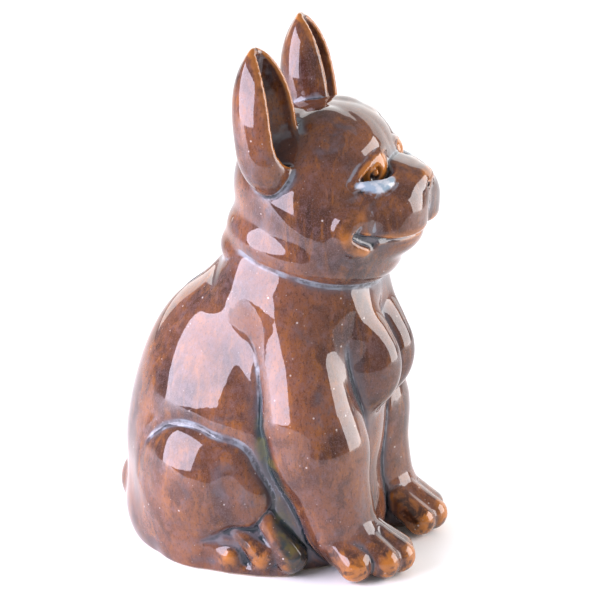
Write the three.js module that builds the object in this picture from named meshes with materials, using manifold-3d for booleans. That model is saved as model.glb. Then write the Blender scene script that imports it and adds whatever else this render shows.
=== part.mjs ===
// Dog coin bank: a hollow glazed ceramic French bulldog, sitting upright, with a rubber stopper in its base.
// Millimetres, +Z up. The dog faces -Y, its left side is +X, and it stands on Z = 0.
// The ceramic is sculpted as rounded masses that melt into each other, then skinned, hollowed and cut.
import * as THREE from "three";
import { mergeVertices, toCreasedNormals } from "three/addons/utils/BufferGeometryUtils.js";
import Module from "manifold-3d";

// Torso
const RUMP_WIDTH = 80;
const RUMP_DEPTH = 92;
const RUMP_HEIGHT = 86;
const RUMP_RISE = 50;
const BACK_WIDTH = 70;
const BACK_LEAN = 26;
const NECK_GIRTH = 58;
const CHEST_HEIGHT = 78;
const CHEST_REACH = 43.2;
const CHEST_LOBE_SPREAD = 10;
const CHEST_LOBE_GIRTH = 23.6;

// Forelegs
const LEG_SPREAD = 23.5;
const ELBOW_GIRTH = 32;
const WRIST_GIRTH = 26;
const PAW_REACH = 46;
const PAW_WIDTH = 25;
const PAW_LENGTH = 28;
const PAW_HEIGHT = 17;
const TOE_WIDTH = 9.2;
const TOE_LENGTH = 17.2;

// Hind legs
const HAUNCH_SPREAD = 29;
const HAUNCH_WIDTH = 34;
const HAUNCH_LENGTH = 59;
const HAUNCH_HEIGHT = 61;
const HIND_PAW_SPREAD = 36;
const HIND_PAW_WIDTH = 21;
const HIND_PAW_LENGTH = 36;
const HIND_PAW_HEIGHT = 17;
const HIND_TOE_WIDTH = 10;
const HIND_TOE_LENGTH = 16;

// Toes from the outside in: places as shares of the paw's half-width and half-length, and half-heights
const FORE_TOES = [[0.8, 0.11, 7.5], [0.32, -0.5, 7.2], [-0.24, -0.76, 7], [-0.76, -0.61, 6.6]];
const HIND_TOES = [[0.63, 0.31, 7.4], [0.53, -0.28, 8], [-0.05, -0.64, 9.2]];

// Head
const SKULL_HEIGHT = 134;
const SKULL_REACH = 23;
const SKULL_WIDTH = 62;
const SKULL_DEPTH = 58;
const SKULL_DOME = 28;
const MUZZLE_REACH = 28;
const MUZZLE_DROP = 4;
const MUZZLE_LENGTH = 28;
const LIP_SPREAD = 7.2;
const CHEEK_FOLD = 2.5;
const EYE_SPREAD = 10.2;
const EYE_SIZE = 13.4;
const EYE_SLANT = 30;
const EYE_TURN = 22;

// Ears: the blade's reach behind and before its axis, its hollow, and the rim left around that
const EAR_LENGTH = 51.6;
const EAR_WIDTH = 22.4;
const EAR_BACK = 9.4;
const EAR_FRONT = 8.6;
const EAR_HOLLOW = 9.5;
const EAR_RIM = 2.3;
const EAR_LOBE = 0.33;
const EAR_SPREAD = 27;
const EAR_TURN = 9.5;

// Shell, coin slot and stopper
const WALL = 5;
const FLOOR = 5;
const FOOT_RECESS = 4.2;
const SLOT_LENGTH = 34;
const SLOT_WIDTH = 5;
const SLOT_HEIGHT = 86;
const HOLE_RADIUS = 16;
const STOPPER_LIP = 4;
const STOPPER_FLANGE = 2.6;
const STOPPER_TAPER = 1.2;
const STOPPER_REACH = 4;
const STOPPER_WALL = 3.5;
const RECESS_MARGIN = 3;
const FIT_GAP = 0.3;

// Spacing of the skin's facets: face, rear of the head, paws, breast, trunk and room
const FACE_GRAIN = 3.2;
const HEAD_GRAIN = 5.6;
const PAW_GRAIN = 5.6;
const BREAST_GRAIN = 5;
const TRUNK_GRAIN = 6.2;
const ROOM_GRAIN = 12;
const SHORTEST_EDGE = 0.05;

// Facets around turned pieces, balls (around and along) and cords (around and along)
const TURNED_FACETS = 40;
const HAUNCH_FACETS = [20, 14];
const TOE_FACETS = [10, 7];
const EYE_FACETS = [12, 8];
const CORD_FACETS = 6;
const CORD_STEPS = 7;

// Levels of an ear, as shares of its length, and the facets around each
const EAR_LEVELS = [0.02, 0.09, 0.18, 0.27, 0.36, 0.47, 0.59, 0.71, 0.82, 0.91, 0.975];
const EAR_BACK_FACETS = 13;
const EAR_FRONT_FACETS = 6;

const radians = THREE.MathUtils.degToRad;
const ramp = THREE.MathUtils.smoothstep;

// Joins two masses with a fillet about as wide as the given size.
function join(a, b, fillet) {
  const overlap = Math.max(fillet - Math.abs(a - b), 0) / fillet;
  return Math.min(a, b) - overlap * overlap * fillet * 0.25;
}

// Cuts the second mass out of the first, with a rounded edge.
function carve(a, b, fillet) {
  return -join(-a, b, fillet);
}

// Joins two masses and presses a narrow groove along the line where they meet.
function crease(a, b, fillet, depth, width) {
  const away = (a - b) / width;
  return join(a, b, fillet) + depth * Math.exp(-away * away);
}

// A rounded mass: an ellipsoid with three half-sizes that nods forward, slants sideways and turns outward.
function mass(centre, halves, nod = 0, slant = 0, turn = 0) {
  const [cx, cy, cz] = centre;
  const [rx, ry, rz] = halves;
  const tilt = new THREE.Euler(radians(nod), radians(slant), radians(turn), "ZYX");
  const m = new THREE.Matrix4().makeRotationFromEuler(tilt).elements;
  return (x, y, z) => {
    const dx = x - cx;
    const dy = y - cy;
    const dz = z - cz;
    const px = (m[0] * dx + m[1] * dy + m[2] * dz) / rx;
    const py = (m[4] * dx + m[5] * dy + m[6] * dz) / ry;
    const pz = (m[8] * dx + m[9] * dy + m[10] * dz) / rz;
    const near = Math.hypot(px, py, pz);
    const slope = Math.hypot(px / rx, py / ry, pz / rz);
    return slope < 1e-9 ? -Math.min(rx, ry, rz) : (near * (near - 1)) / slope;
  };
}

// A round limb that tapers from one end to the other.
function limb(from, fromRadius, to, toRadius) {
  const start = new THREE.Vector3(...from);
  const along = new THREE.Vector3(...to).sub(start);
  const length = along.lengthSq();
  return (x, y, z) => {
    const px = x - start.x;
    const py = y - start.y;
    const pz = z - start.z;
    const raw = (px * along.x + py * along.y + pz * along.z) / length;
    const t = Math.min(1, Math.max(0, raw));
    const reach = Math.hypot(px - t * along.x, py - t * along.y, pz - t * along.z);
    return reach - (fromRadius + t * (toRadius - fromRadius));
  };
}

// A cord of limbs through a row of points, all of one radius.
function cord(points, radius) {
  const pieces = points.slice(1).map((point, i) => limb(points[i], radius, point, radius));
  return (x, y, z) => Math.min(...pieces.map((piece) => piece(x, y, z)));
}

// A ball stretched to three half-sizes, slanted, turned outward and placed, with facets around and along it.
function ball(centre, halves, [around, along], slant = 0, turn = 0) {
  const geometry = new THREE.SphereGeometry(1, around, along);
  geometry.scale(...halves);
  geometry.rotateY(radians(slant));
  geometry.rotateZ(radians(turn));
  geometry.translate(...centre);
  return geometry;
}

// A closed skin through a stack of levels with equal numbers of points, ending in a point at each end.
function loft(foot, levels, tip) {
  const count = levels[0].length;
  const points = [foot, ...levels.flat(), tip];
  const last = points.length - 1;
  const index = [];
  for (let i = 0; i < count; i += 1) {
    const next = (i + 1) % count;
    index.push(0, 1 + next, 1 + i);
    for (let level = 0; level + 1 < levels.length; level += 1) {
      const low = 1 + level * count;
      const high = low + count;
      index.push(low + i, low + next, high + next, low + i, high + next, high + i);
    }
    index.push(last - count + i, last - count + next, last);
  }
  const geometry = new THREE.BufferGeometry().setFromPoints(points);
  geometry.setIndex(index);
  return geometry;
}

// A round cord along a smooth curve through a row of points, with a radius at its two ends and its middle.
function roll(points, [first, middle, last]) {
  const curve = new THREE.CatmullRomCurve3(points.map((point) => new THREE.Vector3(...point)));
  const frames = curve.computeFrenetFrames(CORD_STEPS);
  const levels = frames.tangents.map((_, step) => {
    const share = step / CORD_STEPS;
    const radius = middle + ((share < 0.5 ? first : last) - middle) * (2 * share - 1) ** 2;
    return Array.from({ length: CORD_FACETS }, (__, n) => {
      const angle = (2 * Math.PI * n) / CORD_FACETS;
      const point = curve.getPointAt(share).addScaledVector(frames.normals[step], radius * Math.cos(angle));
      return point.addScaledVector(frames.binormals[step], radius * Math.sin(angle));
    });
  });
  const foot = curve.getPointAt(0).addScaledVector(frames.tangents[0], -first);
  const tip = curve.getPointAt(1).addScaledVector(frames.tangents[CORD_STEPS], last);
  return loft(foot, levels, tip);
}

// A form on the dog's left and its mirror image on the right.
function pair(geometry) {
  const right = geometry.clone();
  right.scale(-1, 1, 1);
  const index = right.index.array;
  for (let i = 0; i < index.length; i += 3) {
    [index[i], index[i + 1]] = [index[i + 1], index[i]];
  }
  return [geometry, right];
}

// Toes of one paw: balls placed from the paw's centre.
function toesOf(paw, places, halfWidth, halfLength, toeWidth, toeLength) {
  return places.map(([aside, along, halfHeight]) => {
    const at = [paw[0] + aside * halfWidth, paw[1] + along * halfLength, paw[2] - 1];
    return ball(at, [toeWidth / 2, toeLength / 2, halfHeight], TOE_FACETS);
  });
}

// Torso: seat, rump, leaning back, withers and two breast lobes
const rump = mass([0, 1, RUMP_HEIGHT - RUMP_RISE], [RUMP_WIDTH / 2, RUMP_DEPTH / 2, RUMP_RISE]);
const seat = mass([0, 0, 9], [RUMP_WIDTH / 2 + 1, RUMP_DEPTH / 2 + 0.5, 26]);
const back = mass([0, -4, RUMP_HEIGHT - 23], [BACK_WIDTH / 2, 41.5, 38], BACK_LEAN);
const withersAt = [0, -17, RUMP_HEIGHT + 11];
const withers = mass(withersAt, [NECK_GIRTH / 2 - 1, NECK_GIRTH / 2, 20]);
const neck = limb(withersAt, NECK_GIRTH / 2 - 4, [0, -SKULL_REACH, SKULL_HEIGHT], NECK_GIRTH / 2 - 4);
const breastTop = [CHEST_LOBE_SPREAD - 1.5, -CHEST_REACH + 9.2, CHEST_HEIGHT + 23];
const breastFoot = [CHEST_LOBE_SPREAD, -CHEST_REACH, CHEST_HEIGHT - 6.5];
const breast = limb(breastTop, CHEST_LOBE_GIRTH / 2 - 2.3, breastFoot, CHEST_LOBE_GIRTH / 2);
const tail = mass([0, RUMP_DEPTH / 2, 16], [7, 5, 8]);

// Forelegs
const shoulderAt = [LEG_SPREAD, -23, CHEST_HEIGHT + 8];
const elbowAt = [LEG_SPREAD + 0.5, -30.2, CHEST_HEIGHT - 25];
const wristAt = [LEG_SPREAD - 0.5, -PAW_REACH + 8, PAW_HEIGHT + 1];
const pawAt = [LEG_SPREAD, -PAW_REACH, PAW_HEIGHT - 9];
const shoulder = mass([LEG_SPREAD - 2, -19, CHEST_HEIGHT + 11], [15, 22, 29], -28);
const upperArm = limb(shoulderAt, ELBOW_GIRTH / 2, elbowAt, ELBOW_GIRTH / 2);
const foreArm = limb(elbowAt, ELBOW_GIRTH / 2, wristAt, WRIST_GIRTH / 2);
const ankle = limb(wristAt, WRIST_GIRTH / 2 - 1, pawAt, 8);
const forePaw = mass(pawAt, [PAW_WIDTH / 2, PAW_LENGTH / 2, 9]);
const foreToes = toesOf(pawAt, FORE_TOES, PAW_WIDTH / 2, PAW_LENGTH / 2, TOE_WIDTH, TOE_LENGTH);

// Hind legs
const haunchRise = HAUNCH_HEIGHT - 31;
const haunchAt = [HAUNCH_SPREAD, 4, HAUNCH_HEIGHT - haunchRise];
const haunchHalves = [HAUNCH_WIDTH / 2, HAUNCH_LENGTH / 2, haunchRise];
const haunch = mass(haunchAt, haunchHalves);
const hindPawAt = [HIND_PAW_SPREAD, -9, HIND_PAW_HEIGHT - 9];
const hindInstepAt = [HIND_PAW_SPREAD - 3, -16, HIND_PAW_HEIGHT - 5];
const hindPaw = mass(hindPawAt, [HIND_PAW_WIDTH / 2, HIND_PAW_LENGTH / 2, 9]);
const hindInstep = mass(hindInstepAt, [HIND_PAW_WIDTH / 2 - 2.5, HIND_PAW_LENGTH / 2 - 7, 11]);
const hindShank = limb(hindPawAt, 7, [HAUNCH_SPREAD, 7, HAUNCH_HEIGHT - 37], 7);
const hindToes = toesOf(
  hindPawAt, HIND_TOES, HIND_PAW_WIDTH / 2, HIND_PAW_LENGTH / 2, HIND_TOE_WIDTH, HIND_TOE_LENGTH,
);

// Head: every feature is placed from the skull's centre or from the muzzle's
const skullAt = [0, -SKULL_REACH, SKULL_HEIGHT];
const muzzleAt = [0, -SKULL_REACH - MUZZLE_REACH, SKULL_HEIGHT - MUZZLE_DROP];
const fromSkull = (x, y, z) => [skullAt[0] + x, skullAt[1] + y, skullAt[2] + z];
const fromMuzzle = (x, y, z) => [muzzleAt[0] + x, muzzleAt[1] + y, muzzleAt[2] + z];
const skull = mass(skullAt, [SKULL_WIDTH / 2, SKULL_DEPTH / 2, SKULL_DOME]);
const forehead = mass(fromSkull(0, -9.5, 14), [20, 12.5, SKULL_DOME - 15.5]);
const brow = mass(fromSkull(5, -16.6, 12), [9.5, 7, 8]);
const cheek = mass(fromSkull(16, -9, -11), [SKULL_WIDTH / 2 - 15, 20, 17]);
const jowl = mass(fromSkull(0, 1, -20), [SKULL_WIDTH / 2 + 1, SKULL_DEPTH / 2 + 2, 13], 12);
const napeRoll = mass(fromSkull(0, 20, -24), [22, 14, 9], 10);
const jaw = mass(fromMuzzle(0, 5, -10.5), [18.5, MUZZLE_LENGTH / 2 + 0.6, 10]);
const lip = mass(fromMuzzle(LIP_SPREAD, 0.6, 0), [14.4, MUZZLE_LENGTH / 2, 12.2]);
const bridge = mass(fromMuzzle(0, 1, 7), [10.5, MUZZLE_LENGTH / 2 - 2, 8]);
const nose = mass(fromMuzzle(0, 5.4 - MUZZLE_LENGTH / 2, 8.4), [7, 4.4, 4.4]);
const foldPoints = [
  [20, 4, 5], [23, 4, 2.6], [26, 5.6, -0.4], [29.2, 8, -6], [27.6, 8.2, -11.4], [23.5, 6, -13.5],
];
const cheekFold = cord(foldPoints.map((point) => fromMuzzle(...point)), CHEEK_FOLD);
const mouthPoints = [[26.8, 4, -5], [24.2, 1.8, -7.6], [21.9, -0.2, -9.9]];
const mouthCorner = roll(mouthPoints.map((point) => fromMuzzle(...point)), [1.2, 2.3, 2.3]);

// Eyes: a slanting hollow in the head, a ball set in it, and two lids like thick petals
const eyeAt = (x, y, z) => fromSkull(EYE_SPREAD + x, y, z);
const socketHalves = [EYE_SIZE * 0.66, 3.8, EYE_SIZE * 0.43];
const socket = mass(eyeAt(4, -25.8, 10), socketHalves, 0, EYE_SLANT - 2, EYE_TURN + 3);
const eyeHalves = [EYE_SIZE * 0.42, EYE_SIZE * 0.38, EYE_SIZE / 2];
const eyeball = ball(eyeAt(0, -22.2, 9.9), eyeHalves, EYE_FACETS, -EYE_SLANT, EYE_TURN);
const upperLidPoints = [
  [12.2, -19, 6.3], [7.3, -21.8, 11.1], [2.6, -23.9, 14.2], [-3, -25, 15.2], [-7, -22.8, 14],
];
const lowerLidPoints = [
  [12.2, -19.3, 5.9], [9.8, -22.7, 6.1], [7, -26, 5.5], [4.2, -29, 6], [0.2, -30.4, 6.6],
];
const upperLid = roll(upperLidPoints.map((point) => eyeAt(...point)), [1.2, 2, 0.8]);
const lowerLid = roll(lowerLidPoints.map((point) => eyeAt(...point)), [1, 2.6, 1]);

// Ears: a rolled leaf that rises from a round lobe, open to the front
const earRoot = new THREE.Vector3(...fromSkull(EAR_SPREAD, 8.5, 2));
const earUp = new THREE.Vector3(-1.5, 7.5, 51).normalize();
const earFace = new THREE.Vector3(Math.sin(radians(EAR_TURN)), -Math.cos(radians(EAR_TURN)), 0);
earFace.addScaledVector(earUp, -earFace.dot(earUp)).normalize();
const earSide = new THREE.Vector3().crossVectors(earUp, earFace);

// One level of an ear: a closed outline, round behind and flat in front, with a hollow between its two rims.
function earLevel(rise) {
  const below = Math.max(0, (EAR_LOBE - rise) / EAR_LOBE);
  const above = Math.max(0, (rise - EAR_LOBE) / (1 - EAR_LOBE));
  const lobe = Math.sqrt(1 - below ** 2);
  const blunt = 1 - 0.94 * above ** 3.6;
  const opened = ramp(rise, 0.2, 0.5);
  const width = (EAR_WIDTH / 2) * lobe * Math.sqrt(1 - above ** 3.4);
  const behind = EAR_BACK * lobe * (1 - 0.93 * above ** 2.2);
  const before = (EAR_FRONT + 1.4 + 14 * opened) * lobe * blunt;
  const rim = Math.min(EAR_FRONT * blunt + 2.5 * (1 - opened), before * Math.cos(radians(14)));
  const edge = Math.acos(rim / before);
  const hollowWidth = Math.max(width * Math.sin(edge) - EAR_RIM, 0.3 * width * Math.sin(edge));
  const hollowDepth = Math.min(EAR_HOLLOW, Math.max(rim + behind - 3.6, 0)) * ramp(rise, 0.2, 0.42);
  const outline = [];
  const place = (across, ahead) => {
    const point = earRoot.clone().addScaledVector(earUp, rise * EAR_LENGTH);
    outline.push(point.addScaledVector(earSide, across).addScaledVector(earFace, ahead));
  };
  for (let i = 0; i <= EAR_BACK_FACETS; i += 1) {
    const angle = edge + ((2 * Math.PI - 2 * edge) * i) / EAR_BACK_FACETS;
    const forward = Math.cos(angle);
    place(width * Math.sin(angle), forward * (forward < 0 ? behind : before));
  }
  for (let i = 0; i <= EAR_FRONT_FACETS; i += 1) {
    const angle = Math.PI * (i / EAR_FRONT_FACETS - 0.5);
    place(hollowWidth * Math.sin(angle), rim - hollowDepth * Math.cos(angle));
  }
  return outline;
}

function earGeometry() {
  const along = (rise) => earRoot.clone().addScaledVector(earUp, rise * EAR_LENGTH);
  return loft(along(0), EAR_LEVELS.map(earLevel), along(1));
}

function torso(x, y, z) {
  const lower = join(rump(x, y, z), seat(x, y, z), 12);
  const upper = join(back(x, y, z), withers(x, y, z), 12);
  return join(lower, upper, 14);
}

// Trunk: torso, breast and forelegs down to the wrists, which melt into the shoulders
function trunk(x, y, z) {
  const side = Math.abs(x);
  const chest = join(breast(x, y, z), breast(-x, y, z), 1.6);
  const arm = join(join(shoulder(side, y, z), upperArm(side, y, z), 8), foreArm(side, y, z), 6);
  const core = join(join(torso(x, y, z), tail(x, y, z), 4), join(chest, neck(x, y, z), 6), 5);
  const soft = ramp(z, CHEST_HEIGHT - 16, CHEST_HEIGHT + 26);
  const form = crease(core, arm, 4 + 8 * soft, 1.1 - 0.7 * soft, 3);
  return Math.max(form, -TRUNK_GRAIN - z);
}

function foreFoot(x, y, z) {
  const form = join(forePaw(x, y, z), ankle(x, y, z), 6);
  return Math.max(form, -PAW_GRAIN - z);
}

function hindFoot(x, y, z) {
  const form = join(join(hindPaw(x, y, z), hindInstep(x, y, z), 4), hindShank(x, y, z), 3);
  return Math.max(form, -PAW_GRAIN - z);
}

function head(x, y, z) {
  const side = Math.abs(x);
  let form = join(join(skull(x, y, z), cheek(side, y, z), 9), brow(side, y, z), 6);
  form = join(join(form, forehead(x, y, z), 8), jowl(x, y, z), 6);
  form = join(join(form, napeRoll(x, y, z), 4), jaw(x, y, z), 5);
  const dome = join(join(lip(x, y, z), lip(-x, y, z), 1.6), bridge(x, y, z), 7);
  form = crease(form, dome, 3, 0.8, 2);
  form = join(form, nose(x, y, z), 1.6);
  form = join(form, cheekFold(side, y, z), 2.4);
  return carve(form, socket(side, y, z), 1.5);
}

// The room inside: the large masses drawn in by the wall, and the floor left under them.
function room(x, y, z) {
  const side = Math.abs(x);
  const low = join(torso(x, y, z), haunch(side, y, z), 10);
  const high = join(join(skull(x, y, z), jowl(x, y, z), 8), neck(x, y, z), 8);
  return join(low, high, 10) + WALL;
}

// Grid lines through a run of zones, each given as its end and its spacing.
function gridLines(start, zones) {
  const lines = [start];
  for (const [end, spacing] of zones) {
    const from = lines[lines.length - 1];
    const count = Math.max(1, Math.round((end - from) / spacing));
    for (let i = 1; i <= count; i += 1) {
      lines.push(from + ((end - from) * i) / count);
    }
  }
  return lines;
}

// A grid cell: its corners, the edges between them, and the corners of its faces
const AXES = ["x", "y", "z"].map((_, axis) => axis);
const CORNERS = Array.from({ length: 8 }, (_, n) => AXES.map((axis) => (n >> axis) & 1));
const cornersWhere = (axis, side) => [...CORNERS.keys()].filter((corner) => CORNERS[corner][axis] === side);
const EDGES = AXES.flatMap((axis) => cornersWhere(axis, 0).map((corner) => [corner, corner + (1 << axis)]));
const FACES = AXES.flatMap((axis) => [cornersWhere(axis, 0), cornersWhere(axis, 1)]);

// The sheets of surface in one cell, each a list of the crossed edges that it passes through.
function cellSheets(values) {
  const inside = values.map((value) => value < 0);
  const sheetOf = EDGES.map(([a, b], edge) => (inside[a] === inside[b] ? -1 : edge));
  const unite = (edges) => {
    const [first, ...rest] = edges.map((edge) => sheetOf[edge]);
    for (const other of rest) {
      sheetOf.forEach((sheet, edge) => {
        if (sheet === other) sheetOf[edge] = first;
      });
    }
  };
  for (const face of FACES) {
    const around = (corners) => EDGES.map((_, edge) => edge).filter((edge) => {
      const [a, b] = EDGES[edge];
      const onFace = face.includes(a) && face.includes(b);
      return sheetOf[edge] >= 0 && onFace && corners.some((corner) => corner === a || corner === b);
    });
    const crossed = around(face);
    const middle = face.reduce((sum, corner) => sum + values[corner], 0);
    const lone = face.filter((corner) => inside[corner] !== middle < 0);
    if (crossed.length === 2) unite(crossed);
    if (crossed.length === 4) lone.forEach((corner) => unite(around([corner])));
  }
  const names = [...new Set(sheetOf.filter((sheet) => sheet >= 0))];
  return names.map((name) => EDGES.map((_, edge) => edge).filter((edge) => sheetOf[edge] === name));
}

// The point of one sheet: the mean of the places where its edges cross the surface.
function sheetPoint(edges, values, low, high) {
  const sum = [0, 0, 0];
  for (const edge of edges) {
    const [a, b] = EDGES[edge];
    const t = values[a] / (values[a] - values[b]);
    for (let axis = 0; axis < 3; axis += 1) {
      const share = CORNERS[a][axis] + t * (CORNERS[b][axis] - CORNERS[a][axis]);
      sum[axis] += low[axis] + share * (high[axis] - low[axis]);
    }
  }
  return sum.map((value) => value / edges.length);
}

// Moves a point on to the surface along its slope, by no more than the given reach.
function settle(field, point, reach) {
  const step = 0.05;
  const [x, y, z] = point;
  const slope = new THREE.Vector3(
    field(x + step, y, z) - field(x - step, y, z),
    field(x, y + step, z) - field(x, y - step, z),
    field(x, y, z + step) - field(x, y, z - step),
  ).divideScalar(2 * step);
  const steep = Math.max(slope.length(), 0.3);
  const move = Math.max(-reach, Math.min(reach, field(x, y, z) / steep));
  return point.map((value, axis) => value - (move * slope.getComponent(axis)) / steep);
}

// Skins a field on a grid: a point for each sheet of surface in a cell, two facets for each crossed edge.
function skin(field, xs, ys, zs) {
  const at = (i, j, k) => (k * ys.length + j) * xs.length + i;
  const values = new Float64Array(xs.length * ys.length * zs.length);
  const cells = [];
  zs.forEach((z, k) => ys.forEach((y, j) => xs.forEach((x, i) => {
    values[at(i, j, k)] = field(x, y, z);
    cells.push([i, j, k]);
  })));
  const inner = cells.filter(([i, j, k]) => i + 1 < xs.length && j + 1 < ys.length && k + 1 < zs.length);
  const pointOf = new Map();
  const positions = [];
  for (const [i, j, k] of inner) {
    const corner = CORNERS.map(([a, b, c]) => values[at(i + a, j + b, k + c)]);
    const filled = corner.filter((value) => value < 0).length;
    if (filled === 0 || filled === 8) continue;
    const low = [xs[i], ys[j], zs[k]];
    const high = [xs[i + 1], ys[j + 1], zs[k + 1]];
    const reach = 0.3 * Math.min(...high.map((value, axis) => value - low[axis]));
    for (const sheet of cellSheets(corner)) {
      const point = settle(field, settle(field, sheetPoint(sheet, corner, low, high), reach), reach);
      sheet.forEach((edge) => pointOf.set(at(i, j, k) * EDGES.length + edge, positions.length / 3));
      positions.push(...point);
    }
  }
  const index = [];
  for (const [i, j, k] of inner.filter((cell) => Math.min(...cell) > 0)) {
    const here = values[at(i, j, k)] < 0;
    for (const axis of [0, 1, 2]) {
      const ahead = [i, j, k].map((value, n) => value + (n === axis ? 1 : 0));
      if (here === values[at(...ahead)] < 0) continue;
      const second = (axis + 1) % 3;
      const third = (axis + 2) % 3;
      const ring = [[1, 1], [0, 1], [0, 0], [1, 0]].map(([b, c]) => {
        const cell = [i, j, k];
        cell[second] -= b;
        cell[third] -= c;
        const corner = (b << second) + (c << third);
        const edge = EDGES.findIndex(([from, to]) => from === corner && to === corner + (1 << axis));
        return pointOf.get(at(...cell) * EDGES.length + edge);
      });
      const loop = here ? [0, 1, 2, 0, 2, 3] : [0, 2, 1, 0, 3, 2];
      index.push(...loop.map((n) => ring[n]));
    }
  }
  const geometry = new THREE.BufferGeometry();
  geometry.setAttribute("position", new THREE.Float32BufferAttribute(positions, 3));
  geometry.setIndex(index);
  return geometry;
}

const wasm = await Module();
wasm.setup();

// A closed geometry as a solid that can be cut.
function solid(geometry) {
  const plain = geometry.clone();
  plain.deleteAttribute("normal");
  plain.deleteAttribute("uv");
  const merged = mergeVertices(plain, 1e-4);
  const kept = [];
  const raw = merged.index.array;
  for (let i = 0; i < raw.length; i += 3) {
    const [a, b, c] = [raw[i], raw[i + 1], raw[i + 2]];
    if (a !== b && b !== c && a !== c) kept.push(a, b, c);
  }
  const vertProperties = new Float32Array(merged.attributes.position.array);
  const triVerts = new Uint32Array(kept);
  return new wasm.Manifold(new wasm.Mesh({ numProp: 3, vertProperties, triVerts }));
}

// The triangles of a cut solid, with edges too short to see closed up.
function closedUp(shape) {
  const cut = shape.getMesh();
  const at = (vertex) => new THREE.Vector3().fromArray(cut.vertProperties, vertex * 3);
  const standIn = Array.from({ length: cut.vertProperties.length / 3 }, (_, vertex) => vertex);
  const kept = (vertex) => {
    let last = vertex;
    while (standIn[last] !== last) last = standIn[last];
    return last;
  };
  const corners = [0, 1, 2];
  for (let i = 0; i < cut.triVerts.length; i += 3) {
    for (const n of corners) {
      const a = kept(cut.triVerts[i + n]);
      const b = kept(cut.triVerts[i + ((n + 1) % 3)]);
      if (a !== b && at(a).distanceTo(at(b)) < SHORTEST_EDGE) standIn[Math.max(a, b)] = Math.min(a, b);
    }
  }
  const faces = new Map();
  for (let i = 0; i < cut.triVerts.length; i += 3) {
    const face = corners.map((n) => kept(cut.triVerts[i + n]));
    if (new Set(face).size < 3) continue;
    const key = [...face].sort((a, b) => a - b).join();
    if (faces.has(key)) faces.delete(key);
    else faces.set(key, face);
  }
  const geometry = new THREE.BufferGeometry();
  geometry.setAttribute("position", new THREE.Float32BufferAttribute(cut.vertProperties, 3));
  geometry.setIndex([...faces.values()].flat());
  return geometry;
}

// A cut solid as a named mesh with its own material.
function named(name, shape, colour, roughness) {
  const geometry = closedUp(shape);
  const material = new THREE.MeshStandardMaterial({ color: colour, roughness, metalness: 0 });
  const mesh = new THREE.Mesh(toCreasedNormals(geometry, radians(38)), material);
  mesh.name = name;
  return mesh;
}

// A drum along Z, from one height to another.
function drum(radius, low, high) {
  const geometry = new THREE.CylinderGeometry(radius, radius, high - low, TURNED_FACETS);
  geometry.rotateX(Math.PI / 2);
  geometry.translate(0, 0, (low + high) / 2);
  return solid(geometry);
}

// A block between two corners.
function block(low, high) {
  const size = high.map((value, axis) => value - low[axis]);
  const geometry = new THREE.BoxGeometry(...size);
  geometry.translate(...low.map((value, axis) => value + size[axis] / 2));
  return solid(geometry);
}

// A field skinned between two corners, with a spacing for each direction.
function skinned(field, low, high, grains) {
  const lines = grains.map((grain, axis) => gridLines(low[axis], [[high[axis], grain]]));
  return solid(skin(field, ...lines));
}

// A pair of feet, each skinned in a box around its paw and its lower leg.
function feet(field, at, width, length, top) {
  const reach = [width / 2 + 3 * PAW_GRAIN, length / 2 + 5 * PAW_GRAIN];
  const left = [at[0] - reach[0], at[1] - reach[1], -3 * PAW_GRAIN];
  const right = [at[0] + reach[0], at[1] + reach[1], top];
  const mirror = (x, y, z) => field(-x, y, z);
  const grains = [PAW_GRAIN, PAW_GRAIN, PAW_GRAIN];
  const one = skinned(field, left, right, grains);
  return one.add(skinned(mirror, [-right[0], left[1], left[2]], [-left[0], right[1], right[2]], grains));
}

// The solid forms, skinned on boxes that reach past them
const legReach = Math.max(HAUNCH_SPREAD + HAUNCH_WIDTH / 2, LEG_SPREAD + ELBOW_GIRTH / 2);
const widest = Math.max(legReach, RUMP_WIDTH / 2 + 1);
const bodyReach = widest + 2 * TRUNK_GRAIN;
const frontReach = Math.max(PAW_REACH, CHEST_REACH, SKULL_REACH) + 20 + 2 * TRUNK_GRAIN;
const rearReach = RUMP_DEPTH / 2 + 6 + 2 * TRUNK_GRAIN;
const neckTop = Math.max(SKULL_HEIGHT, RUMP_HEIGHT + 31) + NECK_GIRTH / 2;
const breastLow = breastFoot[2] - CHEST_LOBE_GIRTH;
const breastReach = CHEST_LOBE_SPREAD + CHEST_LOBE_GIRTH / 2;
const trunkLow = -3 * TRUNK_GRAIN;
const trunkSkin = skin(
  trunk,
  gridLines(-bodyReach, [[-breastReach, TRUNK_GRAIN], [breastReach, BREAST_GRAIN], [bodyReach, TRUNK_GRAIN]]),
  gridLines(-frontReach, [[breastTop[1], BREAST_GRAIN], [rearReach, TRUNK_GRAIN]]),
  gridLines(trunkLow, [[breastLow, TRUNK_GRAIN], [breastTop[2], BREAST_GRAIN], [neckTop, TRUNK_GRAIN]]),
);
const foreFeet = feet(foreFoot, pawAt, PAW_WIDTH, PAW_LENGTH, wristAt[2] + WRIST_GIRTH);
const hindFeet = feet(hindFoot, hindPawAt, HIND_PAW_WIDTH, HIND_PAW_LENGTH, HAUNCH_HEIGHT);
const headReach = SKULL_WIDTH / 2 + 2 * HEAD_GRAIN;
const faceReach = SKULL_WIDTH / 2 - 7;
const faceLine = -SKULL_REACH - 12;
const noseReach = faceLine - MUZZLE_REACH - MUZZLE_LENGTH / 2;
const napeReach = SKULL_DEPTH / 2 + 17 - SKULL_REACH;
const chinLine = SKULL_HEIGHT - SKULL_DOME - 14;
const mouthLine = SKULL_HEIGHT - 18;
const browLine = SKULL_HEIGHT + 18;
const domeTop = SKULL_HEIGHT + SKULL_DOME + 8;
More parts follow.
